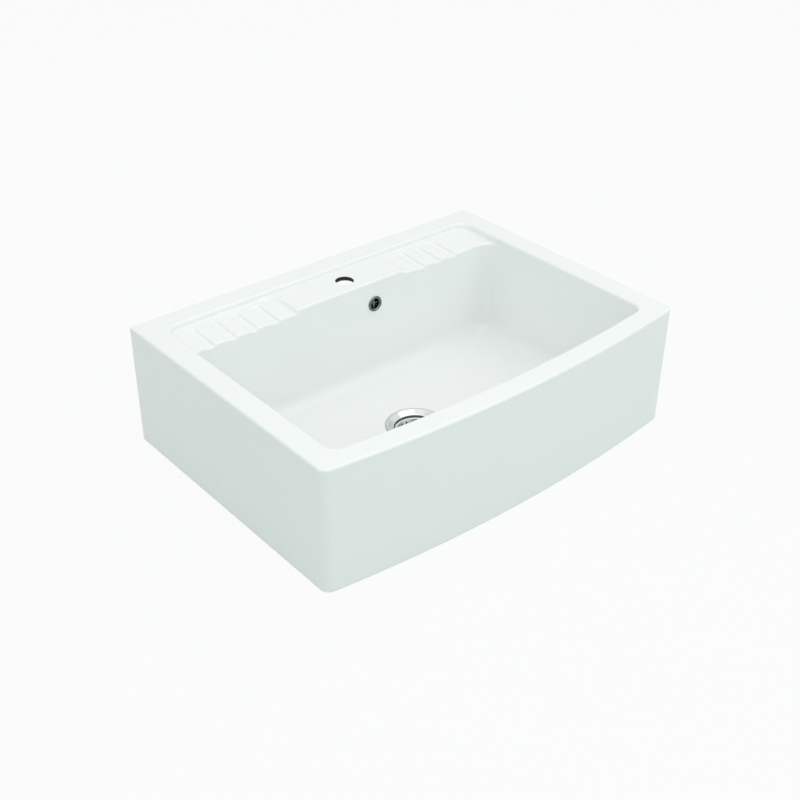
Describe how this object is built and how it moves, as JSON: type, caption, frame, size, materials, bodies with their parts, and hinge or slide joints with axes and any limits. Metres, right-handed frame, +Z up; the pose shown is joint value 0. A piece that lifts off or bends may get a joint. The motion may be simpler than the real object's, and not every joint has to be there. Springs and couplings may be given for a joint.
{
  "type": "farmhouse apron front sink",
  "caption": "Glazed farmhouse sink with a bowed apron, a rear tap ledge with fluted drainers, an overflow, and a waste with a lift-out basket strainer.",
  "frame": {"origin": "middle of the base plane: half the width, half the overall depth, at the foot of the skirt, which rests on the cabinet", "axes": "+X to the sink's right as seen from the apron, +Y from the apron to the wall, +Z up"},
  "size_m": [0.8, 0.59, 0.3236],
  "materials": {
    "glaze": "gloss",
    "chrome": "polished",
    "steel": "polished",
    "brass": "satin",
    "black_rubber": "matte",
    "grey_rubber": "matte",
    "white_plastic": "satin",
    "grey_plastic": "satin"
  },
  "bodies": {
    "sink": {"sink_basin": "glaze", "overflow_ring": "chrome", "overflow_screw": "chrome", "overflow_gasket": "black_rubber", "overflow_elbow": "grey_plastic", "overflow_insert": "brass", "elbow_seal": "grey_rubber", "elbow_nut": "white_plastic", "overflow_hose": "white_plastic", "inlet_seal": "grey_rubber", "inlet_nut": "white_plastic", "strainer_cup": "steel", "cup_gasket": "grey_rubber", "waste_body": "white_plastic", "body_gasket": "black_rubber", "centre_pin": "steel", "waste_insert": "brass"},
    "strainer": {"strainer_basket": "steel", "basket_knob": "chrome", "basket_seal": "black_rubber", "seal_retainer": "brass"}
  },
  "joints": [
    {"name": "basket_lift", "type": "slide", "parent": "sink", "child": "strainer", "axis": [0, 0, 1], "range_m": [0, 0.26]}
  ]
}
